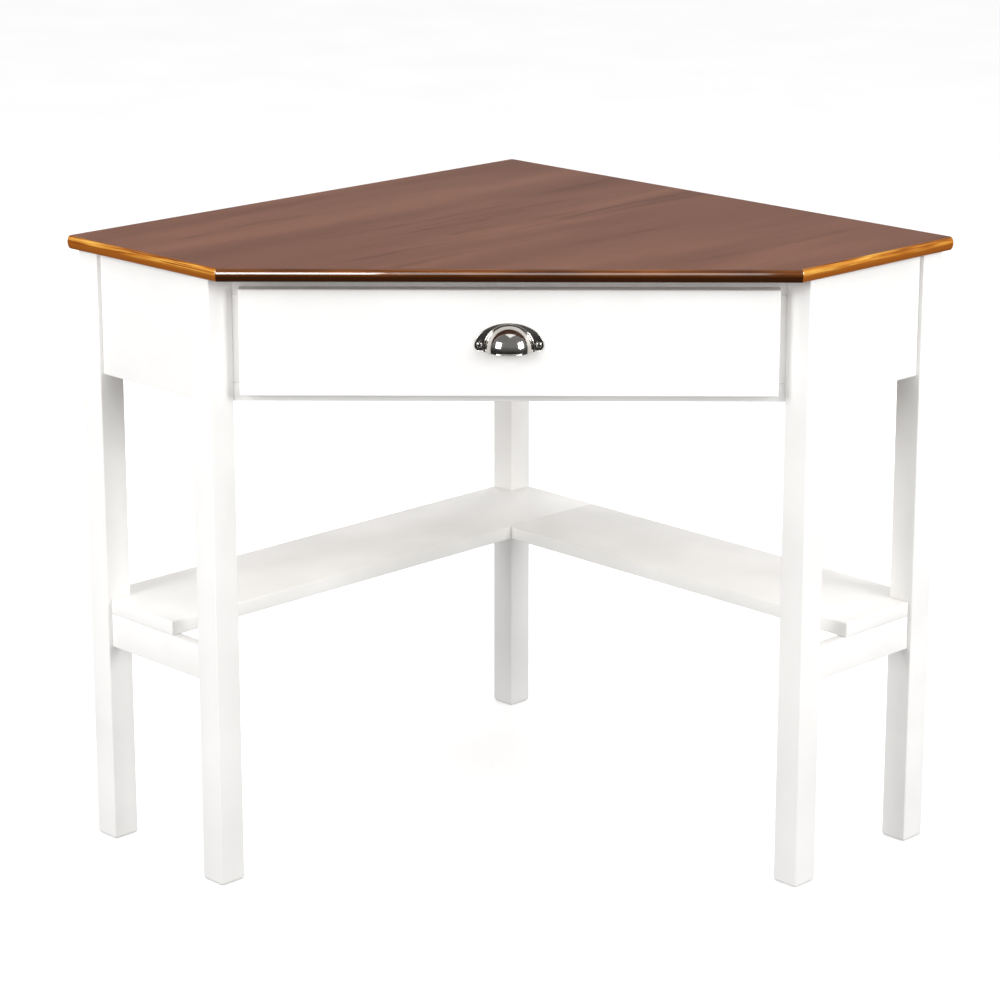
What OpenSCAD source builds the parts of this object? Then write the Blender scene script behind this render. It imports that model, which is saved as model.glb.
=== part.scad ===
// Corner desk: a five-sided wooden top on five square legs, one full-width drawer
// with a cup pull, and a low L-shaped shelf. Millimetres, +Z up, the drawer faces -Y,
// and the right-angled corner that goes into the room's corner points to +Y.

/* [Which piece] */
// Name of the one piece to draw, or all

/* [Top] */
// Width of the top from tip to tip
top_w = 1054; // [900:1:1200]
// Depth of the top from its front edge to its rear corner
top_depth = 718; // [600:1:820]
// Height from the floor to the top's upper face
desk_h = 762; // [700:1:800]
// Thickness of the top
top_t = 16; // [12:0.5:25]
// Length of the top's front edge
front_edge = 666; // [500:1:760]
// Radius of the top's corners seen from above
corner_r = 6; // [2:0.5:20]
// Overhang of the top past the legs along both wall edges
wall_overhang = 8; // [0:0.5:20]
// Overhang of the top past the legs along both short sides
side_overhang = 13; // [0:0.5:25]

/* [Legs and aprons] */
// Width of each square leg
leg_s = 35; // [28:0.5:45]
// Distance from the wall side of a tip leg to the outer side of its front leg
wing_depth = 242; // [200:1:300]
// Height of the aprons under the top
apron_h = 150; // [90:1:180]
// Thickness of the aprons and the low rails
apron_t = 15; // [12:0.5:22]
// Distance from a leg's outer face back to the apron's outer face
apron_set = 5; // [0:0.5:10]

/* [Drawer opening] */
// Thickness of the rails and stiles around the drawer opening
frame_t = 18; // [15:0.5:22]
// Height of the rail above the drawer
top_rail_h = 24; // [18:0.5:30]
// Height of the rail below the drawer
bottom_rail_h = 22; // [15:0.5:30]
// Clear width between the two stiles
opening_w = 588; // [480:1:600]
// Thickness of the boards that carry the drawer slides
runner_t = 18; // [12:0.5:22]
// Height of the boards that carry the drawer slides
runner_h = 88; // [50:1:100]

/* [Drawer] */
// Width of the drawer front
drawer_front_w = 621; // [500:1:630]
// Height of the drawer front
drawer_front_h = 126; // [90:1:140]
// Height of the drawer front's lower edge above the floor
drawer_front_z = 605.5; // [560:0.5:640]
// Thickness of the drawer front
drawer_front_t = 18; // [12:0.5:22]
// Gap between the closed drawer front and the opening's frame
drawer_gap = 0.5; // [0.3:0.1:3]
// Outside width of the drawer box
box_w = 560; // [440:1:570]
// Length of the drawer box behind its front
box_l = 320; // [250:1:340]
// Height of the drawer box's sides
box_h = 88; // [50:1:100]
// Height of the drawer box's lower edge above the floor
box_z = 622; // [600:0.5:650]
// Thickness of the drawer box's sides and back
box_t = 12; // [9:0.5:16]
// Thickness of the drawer's bottom panel
bottom_t = 4; // [3:0.5:6]
// Depth of the groove that holds the bottom panel
groove_d = 5; // [3:0.5:7]

/* [Slides] */
// Length of each drawer slide
slide_l = 300; // [250:10:350]
// Width of the gap that a slide fills beside the drawer box
slide_gap = 12.7; // [12:0.1:14]
// Height of the slide's outer channel
slide_outer_h = 35; // [30:1:45]
// Height of the slide's inner channel
slide_inner_h = 24; // [18:1:34]
// Thickness of the slide's sheet steel
slide_t = 1.2; // [1:0.1:1.6]

/* [Cup pull] */
// Radius of the round cup seen from the front
cup_r = 29; // [22:0.5:35]
// Distance the cup stands out from its base plate
cup_out = 23; // [16:0.5:30]
// Height of the cup's centre above its open lower lip
cup_drop = 2.5; // [1:0.5:15]
// Thickness of the cup's wall and its base plate
cup_t = 1.6; // [1.2:0.1:2.5]
// Distance between the two screws of the pull
pull_span = 68; // [64:1:72]
// Half the width of the pull's arched base plate
plate_half = 40; // [38:0.5:44]
// Height of the base plate from the lip to the top of its arch
plate_rise = 33.2; // [32.5:0.1:40]
// Radius of the base plate's lower corners
plate_corner = 6; // [3:0.5:8]
// Height of the cup's lower lip above the floor
pull_z = 659.5; // [630:0.5:690]

/* [Low shelf] */
// Height of the shelf's upper face above the floor
shelf_z = 312; // [250:1:400]
// Thickness of the shelf boards
shelf_t = 18; // [12:0.5:22]
// Width of the shelf boards
shelf_w = 153; // [120:1:200]
// Height of the low rails under the shelf boards
shelf_rail_h = 42; // [30:1:60]

/* [Fasteners] */
// Diameter of the dowels between legs and aprons
dowel_d = 8; // [6:1:10]
// Diameter of the smaller dowels
pin_d = 6; // [5:1:8]
// Width of each angle bracket
bracket_w = 20; // [15:1:30]
// Length of each arm of an angle bracket
bracket_l = 22; // [18:1:30]
// Thickness of an angle bracket
bracket_t = 1.6; // [1.2:0.1:2.5]
// Diameter of the small screws
screw_d = 3.5; // [3:0.5:4]

/* [Hidden] */
$fn = 48;
LEFT = -1;
RIGHT = 1;
// Clearance around a fastener in its hole
fit = 0.1;
// A cutter reaches this far past the face that it opens
over = 1;
root2 = sqrt(2);
// Corners of the top's outline before they are rounded
tip_x = top_w / 2 + corner_r * (root2 - 1);
front_y = -top_depth / 2;
rear_y = top_depth / 2 + corner_r * (root2 - 1);
tip_y = rear_y - tip_x;
front_x = front_edge / 2;
// The wall frame starts at the rear leg's outer corner: x runs along the wall, -y inwards
wall_y = rear_y - root2 * wall_overhang;
wing_l = root2 * tip_x - wall_overhang - side_overhang;
under_top = desk_h - top_t;
apron_z = under_top - apron_h;
// The front leg's corner that points at the drawer
inner_x = (wing_l - leg_s - wing_depth) / root2;
inner_y = wall_y - (wing_l - leg_s + wing_depth) / root2;
// Front face and back face of the frame around the drawer opening
frame_y = inner_y + 1;
frame_back = frame_y + frame_t;
frame_z = apron_z - 1;
stile_z = frame_z + bottom_rail_h;
stile_h = under_top - top_rail_h - stile_z;
// Middle plane of the side aprons and the back aprons in the wall frame
side_x = wing_l - apron_set - apron_t / 2;
back_y = -apron_set - apron_t / 2;
back_face = -apron_set - apron_t;
// Drawer
front_face_y = frame_y - drawer_gap - drawer_front_t;
box_y = frame_y - drawer_gap;
side_in = box_w / 2 - box_t;
box_mid_z = box_z + box_h / 2;
bottom_z = box_z + 6;
runner_in = box_w / 2 + slide_gap;
slide_y = frame_y + 3;
shelf_under = shelf_z - shelf_t;
rail_z = shelf_under - shelf_rail_h;
cup_z = pull_z + cup_drop;
cup_sphere = (cup_r * cup_r + cup_out * cup_out) / (2 * cup_out);
screw_z = pull_z + 8.2;

// ---- helpers ----

// Places a child drawn in the wall frame on the left or right wing
module wing(side) {
  if (side == LEFT) {
    mirror([1, 0, 0])
      translate([0, wall_y, 0])
        rotate([0, 0, -45])
          children();
  } else {
    translate([0, wall_y, 0])
      rotate([0, 0, -45])
        children();
  }
}

// Places a child drawn on the right, on the left or right
module hand(side) {
  if (side == LEFT) {
    mirror([1, 0, 0])
      children();
  } else {
    children();
  }
}

// A box from its lowest corner
module board(x, y, z, w, d, h) {
  translate([x, y, z])
    cube([w, d, h]);
}

// Rods along x, y and z, centred on a point
module rod_x(x, y, z, d, l) {
  translate([x - l / 2, y, z])
    rotate([0, 90, 0])
      cylinder(d = d, h = l);
}
module rod_y(x, y, z, d, l) {
  translate([x, y + l / 2, z])
    rotate([90, 0, 0])
      cylinder(d = d, h = l);
}
module rod_z(x, y, z, d, l) {
  translate([x, y, z - l / 2])
    cylinder(d = d, h = l);
}

// A pan-head screw standing on z = 0 and pointing up
module pan_screw(l, head_d, head_h, grow = 0) {
  translate([0, 0, -head_h - grow])
    cylinder(d = head_d + 2 * grow, h = head_h + grow);
  translate([0, 0, -over / 10])
    cylinder(d = screw_d + 2 * grow, h = l + grow + over / 10);
}

// ---- dowels and screws, drawn slightly larger when they cut their own holes ----

// Dowels of one wing: side apron, back apron and low rail
module wing_dowels(grow) {
  for (z = [apron_z + 25, apron_z + apron_h - 25]) {
    rod_y(side_x, -leg_s - 1.5, z, dowel_d + 2 * grow, 27 + 2 * grow);
    rod_y(side_x, leg_s - wing_depth + 1.5, z, dowel_d + 2 * grow, 27 + 2 * grow);
    rod_x(leg_s + 1.5, back_y, z, dowel_d + 2 * grow, 27 + 2 * grow);
    rod_x(wing_l - leg_s - 1.5, back_y, z, dowel_d + 2 * grow, 27 + 2 * grow);
  }
  for (z = [rail_z + 10, rail_z + shelf_rail_h - 10]) {
    rod_y(side_x, -leg_s - 1.5, z, dowel_d + 2 * grow, 27 + 2 * grow);
    rod_y(side_x, leg_s - wing_depth + 1.5, z, dowel_d + 2 * grow, 27 + 2 * grow);
  }
}

// Small dowels from a front leg into the ends of the front rails
module rail_pins(grow) {
  pin_y = ((inner_x + 9) + (inner_y + 10) - wall_y) / root2;
  for (z = [frame_z + bottom_rail_h / 2, under_top - top_rail_h / 2]) {
    rod_x(wing_l - leg_s + 2, pin_y, z, pin_d + 2 * grow, 20 + 2 * grow);
  }
}

// Small dowels at the front end of a runner board
module runner_front_pins(grow) {
  for (z = [box_mid_z - 25, box_mid_z + 25]) {
    rod_y(runner_in + runner_t / 2, frame_back, z, pin_d + 2 * grow, 20 + 2 * grow);
  }
}

// Small dowels at the rear end of a runner board, in the wall frame
module runner_rear_pins(grow) {
  x0 = runner_in + runner_t / 2;
  y0 = wall_y + root2 * back_face - x0;
  pin_x = (x0 - y0 + wall_y) / root2;
  for (z = [box_mid_z - 25, box_mid_z + 25]) {
    rod_y(pin_x, back_face, z, pin_d + 2 * grow, 16 + 2 * grow);
  }
}

// Small dowels in the butt joint between the two shelf boards
module butt_pins(grow) {
  for (y = [-40, -115]) {
    rod_x(shelf_w, y, shelf_under + shelf_t / 2, pin_d + 2 * grow, 24 + 2 * grow);
  }
}

// Screws up through a low rail into its shelf board
module rail_screws(grow) {
  for (y = [-70, -135]) {
    translate([side_x, y, rail_z + 14])
      pan_screw(42, 7, 2.5, grow);
    if (grow > 0) {
      rod_z(side_x, y, rail_z + 7 - over / 2, 7 + 2 * grow, 14 + over);
    }
  }
}

// Placement of every angle bracket of a wing: corner at the origin, arms along -y and -z
module at_top_brackets() {
  for (x = [170, 590]) {
    translate([x, back_face, under_top])
      children();
  }
  translate([wing_l - apron_set - apron_t, -wing_depth / 2, under_top])
    rotate([0, 0, -90])
      children();
}
module at_front_bracket() {
  translate([150, frame_back, under_top])
    rotate([0, 0, 180])
      children();
}
module at_shelf_bracket() {
  translate([leg_s, -leg_s / 2, shelf_under])
    rotate([0, 0, 90])
      children();
}
module bracket() {
  difference() {
    union() {
      board(-bracket_w / 2, -bracket_t, -bracket_l, bracket_w, bracket_t, bracket_l);
      board(-bracket_w / 2, -bracket_l, -bracket_t, bracket_w, bracket_l, bracket_t);
    }
    rod_z(0, -14, 0, screw_d + 1, 10);
    rod_y(0, 0, -14, screw_d + 1, 10);
  }
}
module bracket_screw_pair(grow) {
  translate([0, -14, -bracket_t])
    pan_screw(11.5, 7, 2, grow);
  translate([0, -bracket_t, -14])
    rotate([-90, 0, 0])
      pan_screw(11.5, 7, 2, grow);
}

// Screws of one slide on the desk's side and on the drawer's side
module slide_screw_row_desk(grow) {
  for (y = [30, 150, 270]) {
    translate([runner_in - slide_t, slide_y + y, box_mid_z])
      rotate([0, 90, 0])
        pan_screw(12, 6, 1.6, grow);
  }
}
module slide_screw_row_drawer(grow) {
  for (y = [45, 150, 255]) {
    translate([box_w / 2 + slide_t, box_y + y, box_mid_z])
      rotate([0, -90, 0])
        pan_screw(10.5, 6, 1.6, grow);
  }
}

// Dowels from a drawer side into the drawer front
module drawer_pins(grow) {
  for (z = [box_mid_z - 25, box_mid_z + 25]) {
    rod_y(box_w / 2 - box_t / 2, box_y, z, pin_d + 2 * grow, 20 + 2 * grow);
  }
}

// Countersunk screws from a drawer side into the drawer back
module back_screws(grow) {
  for (z = [box_z + 28, box_z + box_h - 20]) {
    translate([box_w / 2, box_y + box_l - box_t / 2, z])
      rotate([0, -90, 0]) {
        cylinder(d = screw_d + 2 * grow, h = 32 + grow);
        cylinder(d1 = 7 + 2 * grow, d2 = screw_d + 2 * grow, h = 2.4);
      }
  }
}

// Screws of the pull, from the front into the drawer front
module pull_screw_pair(grow) {
  for (side = [LEFT, RIGHT]) {
    translate([side * pull_span / 2, front_face_y - cup_t, screw_z])
      rotate([-90, 0, 0])
        pan_screw(15, 7, 2.2, grow);
  }
}

// ---- fixed pieces ----

// One rounded corner disc of the top's outline
module corner_disc(x, y) {
  translate([x, y])
    circle(r = corner_r);
}

// Distance from a sharp corner to where its rounding starts along the edges
side_len = sqrt(pow(tip_x - front_x, 2) + pow(tip_y - front_y, 2));
side_angle = atan2(tip_y - front_y, tip_x - front_x);
ux = cos(side_angle);
uy = sin(side_angle);
front_cut = corner_r * tan(side_angle / 2);
tip_cut = corner_r * tan((135 - side_angle) / 2);
// Centre of the disc in the tip: inwards along the short side, then square to it
tip_cx = tip_x - ux * tip_cut - uy * corner_r;
tip_cy = tip_y - uy * tip_cut + ux * corner_r;

module top_outline() {
  polygon([
    [front_cut - front_x, front_y],
    [front_x - front_cut, front_y],
    [front_x + ux * front_cut, front_y + uy * front_cut],
    [tip_x - ux * tip_cut, tip_y - uy * tip_cut],
    [tip_x - tip_cut / root2, tip_y + tip_cut / root2],
    [corner_r / root2, rear_y - corner_r / root2],
    [-corner_r / root2, rear_y - corner_r / root2],
    [tip_cut / root2 - tip_x, tip_y + tip_cut / root2],
    [ux * tip_cut - tip_x, tip_y - uy * tip_cut],
    [-front_x - ux * front_cut, front_y + uy * front_cut]
  ]);
  for (side = [LEFT, RIGHT]) {
    corner_disc(side * (front_x - front_cut), front_y + corner_r);
    corner_disc(side * tip_cx, tip_cy);
  }
  corner_disc(0, rear_y - root2 * corner_r);
}

module desk_top() {
  color("#8a5a44")
    difference() {
      translate([0, 0, under_top])
        linear_extrude(height = top_t)
          top_outline();
      for (side = [LEFT, RIGHT]) {
        wing(side)
          at_top_brackets()
            bracket_screw_pair(fit);
        hand(side)
          at_front_bracket()
            bracket_screw_pair(fit);
      }
    }
}

// A square post whose lowest corner in the wall frame is given
module post(x, y) {
  board(x, y, 0, leg_s, leg_s, under_top);
}

module leg_front(side) {
  color("#f2f2f0")
    difference() {
      wing(side)
        post(wing_l - leg_s, -wing_depth);
      wing(side)
        wing_dowels(fit);
      wing(side)
        rail_pins(fit);
    }
}
module leg_front_left() {
  leg_front(LEFT);
}
module leg_front_right() {
  leg_front(RIGHT);
}

module leg_tip(side) {
  color("#f2f2f0")
    difference() {
      wing(side)
        post(wing_l - leg_s, -leg_s);
      wing(side)
        wing_dowels(fit);
    }
}
module leg_left() {
  leg_tip(LEFT);
}
module leg_right() {
  leg_tip(RIGHT);
}

module leg_rear() {
  color("#f2f2f0")
    difference() {
      wing(RIGHT)
        post(0, -leg_s);
      for (side = [LEFT, RIGHT]) {
        wing(side)
          wing_dowels(fit);
        wing(side)
          at_shelf_bracket()
            bracket_screw_pair(fit);
      }
    }
}

module side_apron(side) {
  color("#f2f2f0")
    wing(side)
      difference() {
        board(wing_l - apron_set - apron_t, leg_s - wing_depth, apron_z,
              apron_t, wing_depth - 2 * leg_s, apron_h);
        wing_dowels(fit);
        at_top_brackets()
          bracket_screw_pair(fit);
      }
}
module side_apron_left() {
  side_apron(LEFT);
}
module side_apron_right() {
  side_apron(RIGHT);
}

module back_apron(side) {
  color("#f2f2f0")
    wing(side)
      difference() {
        board(leg_s, back_face, apron_z, wing_l - 2 * leg_s, apron_t, apron_h);
        wing_dowels(fit);
        runner_rear_pins(fit);
        at_top_brackets()
          bracket_screw_pair(fit);
      }
}
module back_apron_left() {
  back_apron(LEFT);
}
module back_apron_right() {
  back_apron(RIGHT);
}

// Outline of the opening's frame from above: its ends lie against the front legs
module frame_plan() {
  near = frame_y - inner_y + inner_x;
  far = frame_back - inner_y + inner_x;
  polygon([[-near, frame_y], [near, frame_y], [far, frame_back], [-far, frame_back]]);
}

module front_top_rail() {
  color("#f2f2f0")
    difference() {
      translate([0, 0, under_top - top_rail_h])
        linear_extrude(height = top_rail_h)
          frame_plan();
      for (side = [LEFT, RIGHT]) {
        wing(side)
          rail_pins(fit);
        hand(side)
          at_front_bracket()
            bracket_screw_pair(fit);
      }
    }
}

module front_bottom_rail() {
  color("#f2f2f0")
    difference() {
      translate([0, 0, frame_z])
        linear_extrude(height = bottom_rail_h)
          frame_plan();
      for (side = [LEFT, RIGHT]) {
        wing(side)
          rail_pins(fit);
      }
    }
}

module front_stile(side) {
  near = frame_y - inner_y + inner_x;
  far = frame_back - inner_y + inner_x;
  edge = opening_w / 2;
  color("#f2f2f0")
    hand(side)
      difference() {
        translate([0, 0, stile_z])
          linear_extrude(height = stile_h)
            polygon([[edge, frame_y], [near, frame_y], [far, frame_back], [edge, frame_back]]);
        runner_front_pins(fit);
      }
}
module front_stile_left() {
  front_stile(LEFT);
}
module front_stile_right() {
  front_stile(RIGHT);
}

// The board that carries a slide: its rear end is cut to lie against the back apron
module runner_board(side) {
  near_end = wall_y + root2 * back_face - runner_in;
  color("#d9c7a5")
    hand(side)
      difference() {
        translate([0, 0, box_mid_z - runner_h / 2])
          linear_extrude(height = runner_h)
            polygon([
              [runner_in, frame_back],
              [runner_in + runner_t, frame_back],
              [runner_in + runner_t, near_end - runner_t],
              [runner_in, near_end]
            ]);
        runner_front_pins(fit);
        slide_screw_row_desk(fit);
        translate([0, wall_y, 0])
          rotate([0, 0, -45])
            runner_rear_pins(fit);
      }
}
module runner_board_left() {
  runner_board(LEFT);
}
module runner_board_right() {
  runner_board(RIGHT);
}

// Outer channel of a slide, open towards the drawer
module slide_outer(side) {
  lip = slide_gap - 4.2;
  color("#b9bcc0")
    hand(side)
      difference() {
        board(runner_in - lip, slide_y, box_mid_z - slide_outer_h / 2, lip, slide_l, slide_outer_h);
        board(runner_in - lip - over, slide_y - over, box_mid_z - slide_outer_h / 2 + slide_t,
              lip - slide_t + over, slide_l + 2 * over, slide_outer_h - 2 * slide_t);
        for (y = [30, 150, 270]) {
          rod_x(runner_in, slide_y + y, box_mid_z, screw_d + 0.6, 8);
        }
      }
}
module slide_outer_left() {
  slide_outer(LEFT);
}
module slide_outer_right() {
  slide_outer(RIGHT);
}

// The long shelf board runs along the left wall and fills the rear corner
module shelf_long() {
  color("#f2f2f0")
    difference() {
      wing(LEFT)
        board(0, -shelf_w, shelf_under, wing_l - apron_set, shelf_w, shelf_t);
      wing(LEFT)
        board(-over, -leg_s, shelf_under - over, leg_s + over, leg_s + over, shelf_t + 2 * over);
      wing(LEFT)
        board(wing_l - leg_s, -leg_s, shelf_under - over, leg_s + over, leg_s + over,
              shelf_t + 2 * over);
      wing(LEFT)
        rail_screws(fit);
      wing(RIGHT)
        butt_pins(fit);
      for (side = [LEFT, RIGHT]) {
        wing(side)
          at_shelf_bracket()
            bracket_screw_pair(fit);
      }
    }
}

// The short shelf board runs along the right wall and butts against the long one
module shelf_short() {
  color("#f2f2f0")
    wing(RIGHT)
      difference() {
        board(shelf_w, -shelf_w, shelf_under, wing_l - apron_set - shelf_w, shelf_w, shelf_t);
        board(wing_l - leg_s, -leg_s, shelf_under - over, leg_s + over, leg_s + over,
              shelf_t + 2 * over);
        rail_screws(fit);
        butt_pins(fit);
      }
}

module shelf_rail(side) {
  color("#f2f2f0")
    wing(side)
      difference() {
        board(wing_l - apron_set - apron_t, leg_s - wing_depth, rail_z,
              apron_t, wing_depth - 2 * leg_s, shelf_rail_h);
        wing_dowels(fit);
        rail_screws(fit);
      }
}
module shelf_rail_left() {
  shelf_rail(LEFT);
}
module shelf_rail_right() {
  shelf_rail(RIGHT);
}

// ---- fasteners of the desk ----

module leg_dowels() {
  color("#cfa873")
    for (side = [LEFT, RIGHT]) {
      wing(side)
        wing_dowels(0);
    }
}

module frame_dowels() {
  color("#cfa873")
    for (side = [LEFT, RIGHT]) {
      wing(side)
        rail_pins(0);
      wing(side)
        runner_rear_pins(0);
      hand(side)
        runner_front_pins(0);
    }
}

module shelf_dowels() {
  color("#cfa873")
    wing(RIGHT)
      butt_pins(0);
}

module shelf_screws() {
  color("#b9bcc0")
    for (side = [LEFT, RIGHT]) {
      wing(side)
        rail_screws(0);
    }
}

module top_brackets() {
  color("#b9bcc0")
    for (side = [LEFT, RIGHT]) {
      wing(side)
        at_top_brackets()
          bracket();
      hand(side)
        at_front_bracket()
          bracket();
    }
}

module shelf_brackets() {
  color("#b9bcc0")
    for (side = [LEFT, RIGHT]) {
      wing(side)
        at_shelf_bracket()
          bracket();
    }
}

module bracket_screws() {
  color("#b9bcc0")
    for (side = [LEFT, RIGHT]) {
      wing(side)
        at_top_brackets()
          bracket_screw_pair(0);
      wing(side)
        at_shelf_bracket()
          bracket_screw_pair(0);
      hand(side)
        at_front_bracket()
          bracket_screw_pair(0);
    }
}

module slide_screws_desk() {
  color("#b9bcc0")
    for (side = [LEFT, RIGHT]) {
      hand(side)
        slide_screw_row_desk(0);
    }
}

// ---- drawer ----

module drawer_front() {
  color("#f2f2f0")
    difference() {
      board(-drawer_front_w / 2, front_face_y, drawer_front_z,
            drawer_front_w, drawer_front_t, drawer_front_h);
      board(-side_in - groove_d, box_y - groove_d, bottom_z,
            2 * (side_in + groove_d), groove_d + over, bottom_t + 2 * fit);
      pull_screw_pair(fit);
      for (side = [LEFT, RIGHT]) {
        hand(side)
          drawer_pins(fit);
      }
    }
}

module drawer_side(side) {
  color("#e9dcc3")
    hand(side)
      difference() {
        board(side_in, box_y, box_z, box_t, box_l, box_h);
        board(side_in - over, box_y - over, bottom_z,
              groove_d + over, box_l + 2 * over, bottom_t + 2 * fit);
        drawer_pins(fit);
        back_screws(fit);
        slide_screw_row_drawer(fit);
      }
}
module drawer_side_left() {
  drawer_side(LEFT);
}
module drawer_side_right() {
  drawer_side(RIGHT);
}

module drawer_back() {
  base = bottom_z + bottom_t + 2 * fit;
  color("#e9dcc3")
    difference() {
      board(-side_in, box_y + box_l - box_t, base, 2 * side_in, box_t, box_z + box_h - 5 - base);
      for (side = [LEFT, RIGHT]) {
        hand(side)
          back_screws(fit);
      }
    }
}

module drawer_bottom() {
  half = side_in + groove_d - 0.4;
  color("#e2d2b4")
    board(-half, box_y - groove_d + 0.4, bottom_z + fit, 2 * half, box_l + groove_d - 0.4, bottom_t);
}

// Inner channel of a slide, open towards the desk
module slide_inner(side) {
  lip = slide_gap - 3.2;
  color("#c9ccd0")
    hand(side)
      difference() {
        board(box_w / 2, box_y + 2, box_mid_z - slide_inner_h / 2, lip, slide_l, slide_inner_h);
        board(box_w / 2 + slide_t, box_y + 2 - over, box_mid_z - slide_inner_h / 2 + slide_t,
              lip, slide_l + 2 * over, slide_inner_h - 2 * slide_t);
        for (y = [45, 150, 255]) {
          rod_x(box_w / 2, box_y + y, box_mid_z, screw_d + 0.6, 8);
        }
      }
}
module slide_inner_left() {
  slide_inner(LEFT);
}
module slide_inner_right() {
  slide_inner(RIGHT);
}

module slide_screws_drawer() {
  color("#b9bcc0")
    for (side = [LEFT, RIGHT]) {
      hand(side)
        slide_screw_row_drawer(0);
    }
}

module drawer_dowels() {
  color("#cfa873")
    for (side = [LEFT, RIGHT]) {
      hand(side)
        drawer_pins(0);
    }
}

module drawer_screws() {
  color("#b9bcc0")
    for (side = [LEFT, RIGHT]) {
      hand(side)
        back_screws(0);
    }
}

// Part of a ball that makes the cup, standing out of the drawer front
module cup_ball(r) {
  translate([0, front_face_y - cup_out + cup_sphere, cup_z])
    sphere(r = r, $fn = 64);
}

// Outline of the base plate from the front: an arch on a straight lower edge
module plate_outline() {
  polygon([
    for (step = [0:36])
      [plate_half * cos(step * 5),
       pull_z + plate_corner + (plate_rise - plate_corner) * sin(step * 5)]
  ]);
  for (side = [LEFT, RIGHT]) {
    translate([side * (plate_half - plate_corner), pull_z + plate_corner])
      circle(r = plate_corner);
  }
  translate([plate_corner - plate_half, pull_z])
    square([2 * (plate_half - plate_corner), plate_corner]);
}

// Base plate of the pull, open behind the cup
module pull_plate() {
  translate([0, front_face_y, 0])
    rotate([90, 0, 0])
      linear_extrude(height = cup_t)
        difference() {
          plate_outline();
          translate([0, cup_z])
            circle(r = cup_r - 3);
          translate([-2 * plate_half, pull_z - 2 * plate_half])
            square([4 * plate_half, 2 * plate_half]);
        }
}

module cup_pull() {
  color("#c8cacc")
    difference() {
      union() {
        pull_plate();
        intersection() {
          difference() {
            cup_ball(cup_sphere);
            cup_ball(cup_sphere - cup_t);
          }
          board(-cup_r - 5, front_face_y - cup_out - over, pull_z,
                2 * (cup_r + 5), cup_out + over, 2 * cup_r + 10);
        }
      }
      for (side = [LEFT, RIGHT]) {
        rod_y(side * pull_span / 2, front_face_y, screw_z, screw_d + 0.8, 20);
      }
    }
}

module pull_screws() {
  color("#c8cacc")
    pull_screw_pair(0);
}

desk_top();
leg_front_left();
leg_front_right();
leg_left();
leg_right();
leg_rear();
side_apron_left();
side_apron_right();
back_apron_left();
back_apron_right();
front_top_rail();
front_bottom_rail();
front_stile_left();
front_stile_right();
runner_board_left();
runner_board_right();
slide_outer_left();
slide_outer_right();
shelf_long();
shelf_short();
shelf_rail_left();
shelf_rail_right();
leg_dowels();
frame_dowels();
shelf_dowels();
shelf_screws();
top_brackets();
shelf_brackets();
bracket_screws();
slide_screws_desk();
drawer_front();
drawer_side_left();
drawer_side_right();
drawer_back();
drawer_bottom();
slide_inner_left();
slide_inner_right();
slide_screws_drawer();
drawer_dowels();
drawer_screws();
cup_pull();
pull_screws();
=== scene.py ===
# %% [markdown]
# # A corner desk with one wide drawer
#
# This lesson dresses a corner desk: a five-sided stained top with a rounded edge, five
# square painted legs, painted aprons, a full-width drawer with a polished cup pull, and
# a low L-shaped shelf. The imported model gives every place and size, so the lesson starts
# by loading it. Each piece that shows is then made again with real edges, and each
# finish is a procedural material.

import math

import bmesh
import bpy
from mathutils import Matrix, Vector


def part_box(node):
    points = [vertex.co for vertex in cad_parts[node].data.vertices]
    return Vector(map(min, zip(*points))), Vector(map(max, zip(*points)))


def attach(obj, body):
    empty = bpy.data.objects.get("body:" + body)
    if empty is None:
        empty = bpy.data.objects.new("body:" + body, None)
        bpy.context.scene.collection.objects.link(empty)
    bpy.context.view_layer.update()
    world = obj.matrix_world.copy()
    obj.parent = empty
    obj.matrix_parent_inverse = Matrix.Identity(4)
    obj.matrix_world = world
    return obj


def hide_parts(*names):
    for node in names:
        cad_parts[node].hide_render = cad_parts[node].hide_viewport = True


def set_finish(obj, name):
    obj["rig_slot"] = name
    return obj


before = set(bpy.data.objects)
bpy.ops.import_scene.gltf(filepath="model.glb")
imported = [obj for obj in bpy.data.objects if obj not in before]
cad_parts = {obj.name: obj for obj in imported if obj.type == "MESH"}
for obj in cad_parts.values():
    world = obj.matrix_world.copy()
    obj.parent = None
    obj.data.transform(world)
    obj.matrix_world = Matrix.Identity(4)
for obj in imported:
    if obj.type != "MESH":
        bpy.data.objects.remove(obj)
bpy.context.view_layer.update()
bpy.context.scene.view_settings.view_transform = "Standard"

# %% [markdown]
# ## The camera
#
# The desk is seen from the front, from a little above its top and from four metres away
# through a long lens, so its upright lines stay nearly parallel. A camera in Blender
# looks down its own -Z, so a quarter turn about X points it at the horizon and a little
# less than that tips it down.

# %% Place the camera
FOCAL_LENGTH_MM = 113.4
LOOK_DOWN_DEG = 14.75
LOOK_ASIDE = 0.0084
CAMERA_PLACE = (0.0191, -3.8449, 1.5037)
LENS_SHIFT = -0.080

bpy.ops.object.camera_add(
    location=CAMERA_PLACE,
    rotation=(math.radians(90 - LOOK_DOWN_DEG), 0, LOOK_ASIDE),
)
camera = bpy.context.object
camera.name = "studio_camera"
camera.data.lens = FOCAL_LENGTH_MM
camera.data.shift_y = LENS_SHIFT
bpy.context.scene.camera = camera
print("Camera looks down", LOOK_DOWN_DEG, "degrees through", FOCAL_LENGTH_MM, "mm")

# %% [markdown]
# ## Measures taken from the frame
#
# The desk has two equal wings that meet in the room's corner. On a wing it is easier to
# think as the joiner does: *along* the wall from the room's corner, *out* from the desk
# towards the wall (so into the room is negative), and up. The rear leg's outer corner is
# where both wings start. One function turns such a place into the shared frame.

# %% Measure the wings
ROOT2 = math.sqrt(2)
LEFT, RIGHT = -1, 1
SIDES = {"left": LEFT, "right": RIGHT}

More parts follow.
